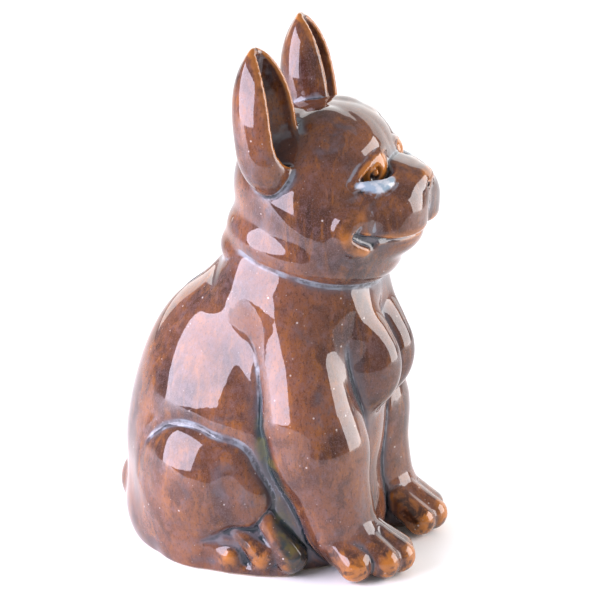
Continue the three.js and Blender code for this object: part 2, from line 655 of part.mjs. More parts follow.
const headSkin = skin(
  head,
  gridLines(-headReach, [[-faceReach, HEAD_GRAIN], [faceReach, FACE_GRAIN], [headReach, HEAD_GRAIN]]),
  gridLines(noseReach, [[faceLine, FACE_GRAIN], [napeReach, HEAD_GRAIN]]),
  gridLines(chinLine, [[mouthLine, HEAD_GRAIN], [browLine, FACE_GRAIN], [domeTop, HEAD_GRAIN]]),
);
const haunchForm = ball(haunchAt, haunchHalves, HAUNCH_FACETS);
const lefts = [haunchForm, ...foreToes, ...hindToes, eyeball, upperLid, lowerLid, earGeometry()];
const details = [headSkin, ...lefts.flatMap(pair)].map(solid);
const limbed = solid(trunkSkin).add(foreFeet).add(hindFeet);
const sculpted = details.reduce((sum, detail) => sum.add(detail), limbed);
const dog = pair(mouthCorner).reduce((sum, cut) => sum.subtract(solid(cut)), sculpted);

const far = 4 * bodyReach;
const floorTop = FOOT_RECESS + FLOOR;
const underside = block([-far, -far, -far], [far, far, 0]);
const belowFloor = block([-far, -far, -far], [far, far, floorTop]);
const recessRadius = HOLE_RADIUS + STOPPER_LIP + RECESS_MARGIN;
const roomLow = [-bodyReach, -frontReach, -30];
const roomHigh = [bodyReach, rearReach, SKULL_HEIGHT + SKULL_DOME + ROOM_GRAIN];
const cavity = skinned(room, roomLow, roomHigh, [ROOM_GRAIN, ROOM_GRAIN, ROOM_GRAIN]).subtract(belowFloor);

// Coin slot: a lengthwise slit with round ends through the wall of the upper back
const slit = new THREE.Shape();
const slitStraight = SLOT_LENGTH / 2 - SLOT_WIDTH / 2;
slit.absarc(0, slitStraight, SLOT_WIDTH / 2, 0, Math.PI);
slit.absarc(0, -slitStraight, SLOT_WIDTH / 2, Math.PI, 2 * Math.PI);
slit.closePath();
const slotCut = new THREE.ExtrudeGeometry(slit, { depth: rearReach, bevelEnabled: false, curveSegments: 8 });
slotCut.rotateX(Math.PI / 2);
slotCut.translate(0, rearReach, SLOT_HEIGHT);

const shell = dog
  .subtract(underside)
  .subtract(cavity)
  .subtract(drum(recessRadius, -1, FOOT_RECESS))
  .subtract(drum(HOLE_RADIUS, FOOT_RECESS - 1, floorTop + WALL))
  .subtract(solid(slotCut));

// Stopper: a flange under the floor and a tapered cup through the hole
const flangeTop = FOOT_RECESS - FIT_GAP;
const flangeLow = flangeTop - STOPPER_FLANGE;
const plugTop = floorTop + STOPPER_REACH;
const plugFoot = HOLE_RADIUS - FIT_GAP;
const plugHead = plugFoot - STOPPER_TAPER;
const flangeRadius = HOLE_RADIUS + STOPPER_LIP;
const rounding = 0.6;
const stopperProfile = [
  [0, flangeLow + 0.8],
  [plugHead - STOPPER_WALL - 2, flangeLow + 0.8],
  [plugHead - STOPPER_WALL - 1, flangeLow],
  [flangeRadius - rounding, flangeLow],
  [flangeRadius, flangeLow + rounding],
  [flangeRadius, flangeTop - rounding],
  [flangeRadius - rounding, flangeTop],
  [plugFoot, flangeTop],
  [plugHead, plugTop - rounding],
  [plugHead - rounding, plugTop],
  [plugHead - STOPPER_WALL, plugTop],
  [plugHead - STOPPER_WALL - 0.5, flangeTop + 0.5],
  [0, flangeTop + 0.5],
].map(([radius, height]) => new THREE.Vector2(radius, height));
const stopperTurned = new THREE.LatheGeometry(stopperProfile, TURNED_FACETS);
stopperTurned.rotateX(Math.PI / 2);
const stopper = solid(stopperTurned);

// Both pieces share one group, set so that the dog's outline is centred over the origin.
const bank = new THREE.Group();
bank.add(named("ceramic_body", shell, 0x7b4a31, 0.14));
bank.add(named("rubber_stopper", stopper, 0x2b2a2b, 0.75));
const outline = new THREE.Box3().setFromObject(bank);
bank.position.y = -(outline.min.y + outline.max.y) / 2;
bank.updateMatrixWorld(true);

export default bank;
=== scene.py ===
"""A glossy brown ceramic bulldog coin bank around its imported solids: skin, glaze, floor, light and camera."""
import math
from concurrent.futures import ThreadPoolExecutor

import bpy
import numpy as np
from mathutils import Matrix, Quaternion, Vector


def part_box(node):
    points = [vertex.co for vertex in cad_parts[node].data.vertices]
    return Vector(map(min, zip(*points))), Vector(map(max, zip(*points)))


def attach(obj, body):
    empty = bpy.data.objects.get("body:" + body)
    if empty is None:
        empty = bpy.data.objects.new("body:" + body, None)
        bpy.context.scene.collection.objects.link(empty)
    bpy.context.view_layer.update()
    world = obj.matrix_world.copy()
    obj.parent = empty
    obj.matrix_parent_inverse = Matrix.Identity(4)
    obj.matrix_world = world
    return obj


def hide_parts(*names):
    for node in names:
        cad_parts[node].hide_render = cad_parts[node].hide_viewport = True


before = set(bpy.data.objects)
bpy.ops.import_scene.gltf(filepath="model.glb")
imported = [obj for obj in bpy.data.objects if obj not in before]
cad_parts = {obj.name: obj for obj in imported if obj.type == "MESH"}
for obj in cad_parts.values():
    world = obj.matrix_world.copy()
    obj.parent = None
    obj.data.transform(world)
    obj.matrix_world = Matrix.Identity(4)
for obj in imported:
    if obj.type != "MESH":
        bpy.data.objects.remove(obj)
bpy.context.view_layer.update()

# Lengths below are millimetres in the sculptor's frame, whose origin lies under the stopper.
# The dog faces -Y. A form of one side is given at +X and mirrored.
MM = 0.001
stopper_low, stopper_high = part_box("rubber_stopper")
SHIFT_Y = (stopper_low.y + stopper_high.y) / 2 / MM

FINE = 0.8
PLAIN = 1.1

SKULL = np.array([0.0, -23.0, 134.0])
MUZZLE = np.array([0.0, -51.0, 130.0])

# Shell, coin slot and base, as in the solids
WALL = 5.0
FLOOR_TOP = 9.2
RECESS_DEPTH = 4.2
RECESS_RADIUS = 23.0
HOLE_RADIUS = 16.0
SLOT_HEIGHT = 86.0
SLOT_LENGTH = 34.0
SLOT_WIDTH = 5.0

# Keeps a division from a zero
TINY = 1e-12


# Field tools: each form is a function of x, y, z that is negative inside it

def join(a, b, fillet):
    """Joins two forms with a fillet about as wide as the given size."""
    overlap = np.maximum(fillet - np.abs(a - b), 0) / fillet
    return np.minimum(a, b) - overlap * overlap * fillet / 4


def carve(a, b, fillet):
    """Cuts the second form out of the first, with a rounded edge."""
    return -join(-a, b, fillet)


def crease(a, b, fillet, depth, width):
    """Joins two forms and presses a narrow groove along the line where they meet."""
    away = (a - b) / width
    return join(a, b, fillet) + depth * np.exp(-away * away)


def ramp(value, low, high):
    """Rises smoothly from 0 at low to 1 at high."""
    t = np.clip((value - low) / (high - low), 0, 1)
    return t * t * (3 - 2 * t)


def within(low, high, x, y, z):
    """Which points lie inside a box."""
    inside = (x > low[0]) & (x < high[0])
    inside &= (y > low[1]) & (y < high[1])
    return inside & (z > low[2]) & (z < high[2])


def mass(centre, halves, nod=0.0, slant=0.0, turn=0.0):
    """An ellipsoid that nods forward (about X), slants (about Y) and turns outward (about Z), in degrees."""
    cn, sn = math.cos(math.radians(nod)), math.sin(math.radians(nod))
    cs, ss = math.cos(math.radians(slant)), math.sin(math.radians(slant))
    ct, st = math.cos(math.radians(turn)), math.sin(math.radians(turn))
    nodding = np.array([[1, 0, 0], [0, cn, sn], [0, -sn, cn]])
    slanting = np.array([[cs, 0, -ss], [0, 1, 0], [ss, 0, cs]])
    turning = np.array([[ct, st, 0], [-st, ct, 0], [0, 0, 1]])
    rows = nodding @ slanting @ turning / np.array(halves, float)[:, None]
    squares = rows / np.array(halves, float)[:, None]
    cx, cy, cz = centre

    def field(x, y, z):
        dx, dy, dz = x - cx, y - cy, z - cz
        near = np.zeros_like(dx)
        steep = np.zeros_like(dx)
        for line, square in zip(rows, squares):
            near += (line[0] * dx + line[1] * dy + line[2] * dz) ** 2
            steep += (square[0] * dx + square[1] * dy + square[2] * dz) ** 2
        near = np.sqrt(near)
        return near * (near - 1) / np.sqrt(np.maximum(steep, TINY))
    return field


def limb(start, start_radius, end, end_radius):
    """A round limb that tapers from one end to the other."""
    start = np.array(start, float)
    along = np.array(end, float) - start
    length = along @ along

    def field(x, y, z):
        dx, dy, dz = x - start[0], y - start[1], z - start[2]
        t = np.clip((dx * along[0] + dy * along[1] + dz * along[2]) / length, 0, 1)
        reach = np.sqrt((dx - t * along[0]) ** 2 + (dy - t * along[1]) ** 2 + (dz - t * along[2]) ** 2)
        return reach - (start_radius + t * (end_radius - start_radius))
    return field


def smooth_line(points, count):
    """Points evenly spread along a smooth curve through a few given ones (Catmull-Rom)."""
    points = np.array(points, float)
    padded = np.vstack([2 * points[0] - points[1], points, 2 * points[-1] - points[-2]])
    out = []
    for t in np.linspace(0, len(points) - 1, count):
        i = min(int(t), len(points) - 2)
        s = t - i
        a, b, c, d = padded[i:i + 4]
        curve = 2 * b + (c - a) * s + (2 * a - 5 * b + 4 * c - d) * s ** 2 + (3 * b - a - 3 * c + d) * s ** 3
        out.append(curve / 2)
    return np.array(out)


def near_only(low, high, field, margin=9.0):
    """The same field, worked out only near its box; elsewhere it is simply far away."""
    low, high = np.array(low) - margin, np.array(high) + margin

    def nearby(x, y, z):
        inside = within(low, high, x, y, z)
        out = np.full(x.shape, margin)
        if inside.any():
            out[inside] = field(x[inside], y[inside], z[inside])
        return out
    return nearby


def cord(points, radii, count):
    """A smooth cord of straight pieces through a few points, with a radius at each of them."""
    line = smooth_line(points, count)
    spread = np.linspace(0, len(radii) - 1, count)
    widths = np.interp(spread, np.arange(len(radii)), radii)
    pieces = [limb(line[i], widths[i], line[i + 1], widths[i + 1]) for i in range(count - 1)]

    def field(x, y, z):
        return np.minimum.reduce([piece(x, y, z) for piece in pieces])
    return near_only(line.min(0), line.max(0), field)


def row(forms, fillet):
    """One form made of several that are joined in turn."""
    def field(x, y, z):
        total = forms[0](x, y, z)
        for form in forms[1:]:
            total = join(total, form(x, y, z), fillet)
        return total
    return field


# Torso

WITHERS = (0, -17, 97)
rump = mass((0, 1, 36), (40, 46, 50))
seat = mass((0, 0, 9), (39.6, 46.5, 26))
back = mass((0, -4, 63), (35, 41.5, 38), nod=26)
withers = mass(WITHERS, (28, 29, 20))
neck = limb(WITHERS, 25, SKULL, 25)
breast = row([
    limb((8.5, -33, 101), 9.5, (9, -39.5, 84), 10.6),
    mass((8.2, -38, 72), (12.2, 18, 19)),
], 4)
tail = mass((0, 46, 16), (7, 5, 8))


def torso(x, y, z):
    """Rump and back, without legs and chest."""
    lower = join(rump(x, y, z), seat(x, y, z), 12)
    upper = join(back(x, y, z), withers(x, y, z), 12)
    return join(lower, upper, 14)


# Forelegs

ELBOW = (24.6, -30.6, 45)
ELBOW_RADIUS = 17.2
WRIST = (23, -38, 18)
FORE_PAW = np.array([23.5, -46, 8])
shoulder = row([
    mass((17.2, -18.5, 94), (12.6, 21, 25), nod=-28),
    limb((19.2, -19, 99), 11.6, (26.1, -27.5, 57), 17.5),
], 5)
upper_arm = limb((20.3, -21, 92), 10, ELBOW, ELBOW_RADIUS)
fore_arm = limb(ELBOW, ELBOW_RADIUS, WRIST, 13)
ankle = limb(WRIST, 12, FORE_PAW, 8)
fore_paw = mass(FORE_PAW, (10, 11, 7.4))
fore_toes = row([
    limb(FORE_PAW + (7.5, 6, 5), 5.2, FORE_PAW + (10, -1.5, -1.4), 6),
    limb(FORE_PAW + (3, -1, 6), 5, FORE_PAW + (4, -10, -1.4), 6),
    limb(FORE_PAW + (-3, -3, 6), 5, FORE_PAW + (-3, -13.4, -1.4), 6),
    limb(FORE_PAW + (-8, -2, 5), 4.8, FORE_PAW + (-9.5, -11.2, -1.8), 5.6),
], 1.2)


def fore_leg(side, y, z):
    """Shoulder, arm and paw of one side."""
    form = join(shoulder(side, y, z), upper_arm(side, y, z), 4)
    form = join(form, fore_arm(side, y, z), 6)
    form = join(form, ankle(side, y, z), 4)
    form = join(form, fore_paw(side, y, z), 6)
    return crease(form, fore_toes(side, y, z), fillet=3.2, depth=0.35, width=1.1)


# Hind legs

haunch = row([
    mass((22.5, 7.5, 31), (23.3, 25.5, 30.5)),
    mass((27, -5, 40), (14, 12, 16)),
    mass((29, -9, 26), (12.4, 11.5, 15)),
], 6)
hind_paw = row([
    mass((31.5, -10, 7), (6, 16, 9)),
    mass((31, 8, 4), (6.5, 13, 8)),
], 5)
sole = mass((33.5, -6, 1), (7, 20, 5))
hind_toes = row([
    limb((35.6, 7, 10), 3.8, (36.2, -3, 6.5), 6.2),
    limb((36, -5.5, 16), 4.2, (36.2, -15, 8), 6),
    limb((34.4, -15, 21), 4.6, (35, -24.5, 7.4), 6),
], 1.4)

# Where green glaze gathers between haunch and foreleg; it colours the skin and isn't a form of its own
flank_web = cord([
    (37.8, -15.2, 58), (38.6, -15.6, 50), (39.6, -16.6, 44), (40, -18.2, 38.5), (39.8, -20.4, 31),
    (39, -22, 25), (38.4, -24.8, 17.5), (38, -28, 10.5), (35, -30, 1)
], (1.2, 1.6, 2.2, 2.7, 3.0, 3.2, 3.4, 3.8, 4.2), 17)


def hind_foot(side, y, z):
    """Paw, toes and sole of one side."""
    form = crease(hind_paw(side, y, z), hind_toes(side, y, z), fillet=2.6, depth=0.4, width=1.1)
    return join(form, sole(side, y, z), 2.5)


# The creases round the legs melt into the trunk: behind the arm over these heights, behind the haunch and
# the heel over these places in y, where the haunch's line leans forward below a height
ARM_MELTS = (60, 92)
HAUNCH_MELTS = (22, 36)
HAUNCH_LEAN = 0.9
HAUNCH_LEAN_TOP = 30
HEEL_MELTS = (-2, 13)


def trunk(x, y, z):
    """Torso, chest, legs and paws."""
    side = np.abs(x)
    chest = join(breast(x, y, z), breast(-x, y, z), 1.6)
    chest = join(chest, neck(x, y, z), 6)
    core = join(join(torso(x, y, z), tail(x, y, z), 4), chest, 5)
    melt = ramp(z, *ARM_MELTS)
    form = crease(core, fore_leg(side, y, z), fillet=4 + 7 * melt, depth=1.1 - melt, width=1.4)
    melt = ramp(y + HAUNCH_LEAN * np.maximum(HAUNCH_LEAN_TOP - z, 0), *HAUNCH_MELTS)
    form = crease(form, haunch(side, y, z), fillet=2.5 + 6 * melt, depth=1.3 * (1 - melt), width=1.2)
    melt = ramp(y, *HEEL_MELTS)
    return crease(form, hind_foot(side, y, z), fillet=2.5 + 5 * melt, depth=0.9 * (1 - melt), width=1.4)


# Head: masses placed from the skull's centre, muzzle from its own

skull = mass(SKULL, (31, 29, 28))
forehead = mass(SKULL + (0, -9.5, 14), (20, 12.5, 12.5))
brow = mass(SKULL + (5, -16.6, 12), (9.5, 7, 8))
cheek = mass(SKULL + (16, -9, -11), (16, 20, 17))
jowl = mass(SKULL + (0, 1, -20), (32, 31, 13), nod=12)
nape_roll = mass(SKULL + (0, 20, -24), (22, 14, 9), nod=10)
wrinkles = row([
    mass((11, -28.5, 158.4), (6.5, 6.5, 3.6), slant=20),
    mass((12.5, -36, 155), (6, 4.2, 3.4), slant=25),
], 2)

jaw = mass(MUZZLE + (0, 5, -10.5), (18.5, 14.6, 10))
lip = mass(MUZZLE + (7.2, 0.6, 0), (14.4, 14, 12.2))
flew = limb(MUZZLE + (9, 1, 0), 11, (22.5, -45.8, 128), 5)
bridge = mass(MUZZLE + (0, 1, 7), (10.5, 12, 8))
nose = mass(MUZZLE + (0, -8.4, 8.4), (8.4, 4.6, 4.4))
nostril = mass(MUZZLE + (2.6, -13, 7.2), (1.1, 1.6, 0.8), slant=25, turn=20)
mouth_corner = cord([
    (28.2, -45.4, 124.2), (26.3, -47.6, 122.8), (22.6, -50.4, 120.4)
], (0.9, 1.7, 1.6), 6)
muzzle_fold = cord([
    (20, -48.6, 136.6), (22, -47.2, 134.6), (24.9, -45.4, 131.8), (27.4, -44, 128.9), (28.8, -42.9, 126)
], (1.2, 2.0, 2.2, 2.0, 1.2), 9)
cheek_fold = cord([
    (26.6, -42.3, 131.6), (28.4, -41, 129), (29, -40.6, 126.3), (28.6, -41.4, 122.9), (27, -43.5, 120.8),
    (24.4, -46, 119.6)
], (1.8, 2.4, 2.7, 2.7, 2.4, 1.8), 12)

# Below the muzzle's middle the lips hang: heights there count for only this share, down to a cut edge
LIP_HANG = 0.4
LIP_EDGE = MUZZLE[2] - 8.4

# Heights below which the crease round the muzzle is sharp, and above which it is firm again
MUZZLE_SHARP = (124, 131)
MUZZLE_FIRM = (133, 140)

EYE = np.array([10.4, -45.3, 143.9])
EYE_TILT = {"slant": -30, "turn": 22}
PUPIL = EYE + (3.9, -3.3, -1)
socket = mass((14.2, -48.8, 144), (8.8, 3.8, 5.8), slant=28, turn=25)
eyeball = mass(EYE, (5.6, 5.2, 6.7), **EYE_TILT)
pupil = mass(PUPIL, (1.9, 2.4, 2.9), **EYE_TILT)
pupil_dot = mass(EYE + (3.4, -2.3, -0.6), (1.0, 1.6, 1.6), **EYE_TILT)
upper_lid = cord([
    (22.4, -42.2, 140.5), (17.7, -44.8, 144.9), (13.2, -46.8, 147.8), (7.6, -47.8, 148.9), (3.5, -47, 148.4)
], (0.8, 1.3, 1.4, 1.1, 0.6), 14)
lower_lid = cord([
    (22.6, -42.5, 140.3), (20.6, -46.4, 140.6), (17.9, -49.9, 139.5), (14.9, -52.7, 140.1), (10.8, -54.4, 141.4)
], (0.5, 1.4, 2.6, 2.0, 0.6), 14)


def muzzle(x, y, z):
    """The lips of both sides under the bridge of the nose."""
    hung = np.where(z < MUZZLE[2], MUZZLE[2] + LIP_HANG * (z - MUZZLE[2]), z)
    lips = join(lip(x, y, hung), lip(-x, y, hung), 1.6)
    lips = join(lips, flew(np.abs(x), y, hung), 4)
    return join(carve(lips, z - LIP_EDGE, 3.4), bridge(x, y, z), 7)


def face(x, y, z, form):
    """Muzzle, mouth, nose, folds and eyes set into the head."""
    side = np.abs(x)
    form = join(form, muzzle_fold(side, y, z), 3)
    form = join(form, jaw(x, y, z), 5)
    sharp = 1 - ramp(z, *MUZZLE_SHARP)
    firm = ramp(z, *MUZZLE_FIRM)
    fillet = 5.5 - 3 * sharp - 1.5 * firm
    form = crease(form, muzzle(x, y, z), fillet, depth=0.15 + 1.05 * sharp + 0.25 * firm, width=1.3)
    form = join(form, nose(x, y, z), 1.6)
    form = join(form, cheek_fold(side, y, z), 4)
    form = carve(form, mouth_corner(side, y, z), 1.6)
    form = carve(form, nostril(side, y, z), 0.8)
    form = carve(form, socket(side, y, z), 1.5)
    lids = join(upper_lid(side, y, z), lower_lid(side, y, z), 1.2)
    ball = carve(eyeball(side, y, z), pupil(side, y, z), 0.5)
    ball = join(ball, pupil_dot(side, y, z), 0.4)
    return join(join(form, lids, 1.6), ball, 0.5)


# Ears: a rolled leaf that rises from a round lobe, open to the front

EAR_ROOT = SKULL + (26.6, 7, 2)
EAR_TIP = SKULL + (25.1, 14.5, 53)
EAR_TURN = math.radians(9.5)
EAR_LENGTH = np.linalg.norm(EAR_TIP - EAR_ROOT)
EAR_UP = (EAR_TIP - EAR_ROOT) / EAR_LENGTH
EAR_FACE = np.array([math.sin(EAR_TURN), -math.cos(EAR_TURN), 0])
EAR_FACE = EAR_FACE - EAR_UP * (EAR_FACE @ EAR_UP)
EAR_FACE = EAR_FACE / np.linalg.norm(EAR_FACE)
EAR_SIDE = np.cross(EAR_UP, EAR_FACE)

# Heights along it are shares of its length: where the lobe is widest, where the leaf opens, and where the
# rim and the hollow reach their full form
EAR_LOBE = 0.33
EAR_OPENS = (0.2, 0.5)
EAR_RIM_STARTS = (0.08, 0.35)
EAR_HOLLOW_STARTS = (0.08, 0.24)

# Its half width, and how far it reaches behind its axis, before it, and further before it where it is open
EAR_WIDTH = 11.9
EAR_BEHIND = 10.8
EAR_BEFORE = 10
EAR_OPENING = 5

# What its back and its front lose up to the tip, and how late each of its sizes drops, as powers
EAR_BEHIND_LOSS = 0.93
EAR_BEFORE_LOSS = 0.94
EAR_WIDTH_POWER = 2.6
EAR_BEHIND_POWER = 3.2
EAR_BEFORE_POWER = 3.6

# The flat rim lies so far before the axis, and further before it at the lobe; the hollow leaves so much
# at its sides and at the back, and sinks by so much at the root
EAR_RIM = 7.2
EAR_LOBE_RIM = 2
EAR_EDGE = 2.3
EAR_BACK = 3.6
EAR_HOLLOW = 9.5
EAR_HOLLOW_SINK = 4
EAR_LEAST = 0.2
EAR_LEAST_SHARE = 1e-3
EAR_REACH = 20


def ear_sizes(rise):
    """Half width, reach behind and before the axis, and place of the rim, at a share of the ear's length."""
    below = np.clip((EAR_LOBE - rise) / EAR_LOBE, 0, 1)
    above = np.clip((rise - EAR_LOBE) / (1 - EAR_LOBE), 0, 1)
    lobe = np.sqrt(np.maximum(1 - below ** 2, EAR_LEAST_SHARE))
    blunt = 1 - EAR_BEFORE_LOSS * above ** EAR_BEFORE_POWER
    width = EAR_WIDTH * lobe * np.sqrt(np.maximum(1 - above ** EAR_WIDTH_POWER, EAR_LEAST_SHARE))
    behind = EAR_BEHIND * lobe * (1 - EAR_BEHIND_LOSS * above ** EAR_BEHIND_POWER)
    before = (EAR_BEFORE + EAR_OPENING * ramp(rise, *EAR_OPENS)) * lobe * blunt
    rim = EAR_RIM * blunt + EAR_LOBE_RIM * (1 - ramp(rise, *EAR_RIM_STARTS))
    return width, behind, before, rim


def ear_field(x, y, z):
    """The leaf, cut flat at its rim and hollowed from there."""
    dx, dy, dz = x - EAR_ROOT[0], y - EAR_ROOT[1], z - EAR_ROOT[2]
    across = dx * EAR_SIDE[0] + dy * EAR_SIDE[1] + dz * EAR_SIDE[2]
    ahead = dx * EAR_FACE[0] + dy * EAR_FACE[1] + dz * EAR_FACE[2]
    rise = (dx * EAR_UP[0] + dy * EAR_UP[1] + dz * EAR_UP[2]) / EAR_LENGTH
    width, behind, before, rim = ear_sizes(rise)
    depth = np.where(ahead < 0, behind, before)
    outer = (np.sqrt((across / width) ** 2 + (ahead / depth) ** 2) - 1) * np.minimum(width, depth)
    past = np.maximum(rise - 1, -rise) * EAR_LENGTH
    outer = np.where(past > 0, np.maximum(outer, past), outer)
    outer = carve(outer, rim - ahead, 1.8)
    rim_width = width * np.sqrt(np.maximum(1 - (rim / before) ** 2, 0))
    hollow_width = np.maximum(rim_width - EAR_EDGE, EAR_LEAST)
    hollow_depth = np.clip(rim + behind - EAR_BACK, EAR_LEAST, EAR_HOLLOW)
    hollow = np.sqrt((across / hollow_width) ** 2 + ((ahead - rim) / hollow_depth) ** 2) - 1
    hollow = hollow * np.minimum(hollow_width, hollow_depth)
    return carve(outer, hollow + EAR_HOLLOW_SINK * (1 - ramp(rise, *EAR_HOLLOW_STARTS)), 1.4)


ear = near_only(EAR_ROOT - EAR_REACH, EAR_TIP + EAR_REACH, ear_field, margin=12.0)


# Whole dog: head on trunk, hollow, coin slot, stopper hole and the recess round it

FACE_BOX = ((-42, -74, 104), (42, -26, 160))


def head(x, y, z):
    """Skull, face and ears."""
    side = np.abs(x)
    form = join(skull(x, y, z), cheek(side, y, z), 9)
    form = join(form, brow(side, y, z), 6)
    form = join(form, forehead(x, y, z), 8)
    form = join(form, jowl(x, y, z), 6)
    form = join(form, wrinkles(side, y, z), 3)
    form = join(form, nape_roll(x, y, z), 4)
    at_face = within(*FACE_BOX, x, y, z)
    if at_face.any():
        form[at_face] = face(x[at_face], y[at_face], z[at_face], form[at_face])
    return crease(form, ear(side, y, z), fillet=3.2, depth=0.25, width=1.5)


def outer_form(x, y, z):
    """The dog without its hollow and its base."""
    return crease(trunk(x, y, z), head(x, y, z), fillet=3.0, depth=0.35, width=1.4)


def room(x, y, z):
    """The hollow for the coins."""
    low = join(torso(x, y, z), haunch(np.abs(x), y, z), 10)
    high = join(join(skull(x, y, z), jowl(x, y, z), 8), neck(x, y, z), 8)
    return np.maximum(join(low, high, 10) + WALL, FLOOR_TOP - z)


def slot(x, y, z):
    """The coin slot, lengthwise on the midline of the back."""
    over = np.maximum(np.abs(z - SLOT_HEIGHT) - (SLOT_LENGTH - SLOT_WIDTH) / 2, 0)
    return np.maximum(np.sqrt(x * x + over * over) - SLOT_WIDTH / 2, -y)


def dog(x, y, z):
    """The whole glazed shell."""
    form = carve(outer_form(x, y, z), z, 1.2)
    form = carve(form, room(x, y, z), 0.6)
    form = carve(form, slot(x, y, z), 1.4)
    out = np.sqrt(x * x + y * y)
    form = carve(form, np.maximum(out - RECESS_RADIUS, z - RECESS_DEPTH), 0.8)
    return carve(form, np.maximum(out - HOLE_RADIUS, z - FLOOR_TOP - WALL), 0.5)


# Skinning: a graded grid, one point in each crossed cell, moved on to the true surface

BLOCK = 4
CHUNK = 40000
WORKERS = 4
NEAR_SURFACE = 1.8
SLOPE_STEP = 0.05
LEAST_STEEP = 0.1
FIRST_REACH = 0.4
REACH = 0.3
RELAX_ROUNDS = 3
RELAX_SHARE = 0.5
CORNERS = [(i, j, k) for i in (0, 1) for j in (0, 1) for k in (0, 1)]
EDGES = [
    (a, b) for a in CORNERS for b in CORNERS
    if sum(b) == sum(a) + 1 and all(p <= q for p, q in zip(a, b))
]
TETRAHEDRON = np.array([(1, 1, 1), (1, -1, -1), (-1, 1, -1), (-1, -1, 1)], float)


def evaluate(field, points):
    """A field at many points, worked out in chunks on all cores."""
    parts = [points[i:i + CHUNK] for i in range(0, len(points), CHUNK)]
    with ThreadPoolExecutor(WORKERS) as pool:
        return np.concatenate(list(pool.map(lambda part: field(*part.T), parts)))


def grid_lines(start, zones):
    """Grid lines through a run of zones, each given as its end and its spacing, in whole blocks."""
    lines = [start]
    for end, spacing in zones:
        count = max(1, math.ceil((end - lines[-1]) / spacing / BLOCK)) * BLOCK
        lines.extend(np.linspace(lines[-1], end, count + 1)[1:])
    return np.array(lines)


def sample(field, axes):
    """The field on the grid: exact near the surface, and only its sign elsewhere."""
    coarse_axes = [axis[::BLOCK] for axis in axes]
    coarse_points = np.stack(np.meshgrid(*coarse_axes, indexing="ij"), -1)
    coarse = evaluate(field, coarse_points.reshape(-1, 3)).reshape(coarse_points.shape[:3])
    widest = max(np.diff(axis).max() for axis in coarse_axes)
    marked = np.abs(coarse) < NEAR_SURFACE * widest
    active = np.zeros([n - 1 for n in coarse.shape], bool)
    for i, j, k in CORNERS:
        active |= marked[i:i + active.shape[0], j:j + active.shape[1], k:k + active.shape[2]]
    values, fine = coarse, active
    for axis in range(3):
        values = np.repeat(values, BLOCK, axis)
        fine = np.repeat(fine, BLOCK, axis)
    shape = [len(axis) for axis in axes]
    values = values[:shape[0], :shape[1], :shape[2]].copy()
    wanted = np.zeros(shape, bool)
    for i, j, k in CORNERS:
        wanted[i:i + fine.shape[0], j:j + fine.shape[1], k:k + fine.shape[2]] |= fine
    spots = np.argwhere(wanted)
    points = np.stack([axes[n][spots[:, n]] for n in range(3)], -1)
    values[wanted] = evaluate(field, points)
    return values


def settle(field, points, reach):
    """Moves points on to the surface along the field's slope, by no more than the reach."""
    around = [evaluate(field, points + SLOPE_STEP * tip) for tip in TETRAHEDRON]
    value = sum(around) / 4
    gradient = sum(one[:, None] * tip for one, tip in zip(around, TETRAHEDRON)) / (4 * SLOPE_STEP)
    steep = np.maximum((gradient ** 2).sum(1), LEAST_STEEP)
    move = (value / steep)[:, None] * gradient
    length = np.sqrt((move ** 2).sum(1))
    return points - move * np.minimum(1, reach / np.maximum(length, TINY))[:, None]


def relax(points, quads):
    """Draws each point part of the way to the middle of its neighbours, for even facets."""
    ends = np.concatenate([quads[:, [n, (n + 1) % 4]] for n in range(4)])
    count = np.bincount(ends[:, 0], minlength=len(points))
    total = np.stack([np.bincount(ends[:, 0], points[ends[:, 1], n], len(points)) for n in range(3)], -1)
    return points + RELAX_SHARE * (total / np.maximum(count, 1)[:, None] - points)


def cell_points(values, axes, cells):
    """In each crossed cell, the middle of the places where the surface cuts its edges."""
    total = np.zeros((len(cells), 3))
    count = np.zeros(len(cells))
    for a, b in EDGES:
        at_a, at_b = cells + a, cells + b
        value_a, value_b = values[tuple(at_a.T)], values[tuple(at_b.T)]
        cut = (value_a < 0) != (value_b < 0)
        share = np.where(cut, value_a / np.where(cut, value_a - value_b, 1), 0)
        for n in range(3):
            low, high = axes[n][at_a[:, n]], axes[n][at_b[:, n]]
            total[:, n] += np.where(cut, low + share * (high - low), 0)
        count += cut
    return total / count[:, None]


def cell_quads(values, ids):
    """A quad of cells round each grid edge that the surface cuts, facing outward."""
    quads = []
    for axis in range(3):
        second, third = (axis + 1) % 3, (axis + 2) % 3
        low = np.moveaxis(values, axis, 0)[:-1]
        high = np.moveaxis(values, axis, 0)[1:]
        spots = np.argwhere(np.moveaxis((low < 0) != (high < 0), 0, axis))
        inner = (spots[:, second] > 0) & (spots[:, third] > 0)
        inner &= (spots[:, second] < ids.shape[second]) & (spots[:, third] < ids.shape[third])
        spots = spots[inner]
        ring = []
        for b, c in ((1, 1), (0, 1), (0, 0), (1, 0)):
            cell = spots.copy()
            cell[:, second] -= b
            cell[:, third] -= c
            ring.append(ids[tuple(cell.T)])
        ring = np.stack(ring, -1)
        outward = values[tuple(spots.T)] < 0
        quads.append(np.where(outward[:, None], ring, ring[:, ::-1]))
    return np.concatenate(quads)


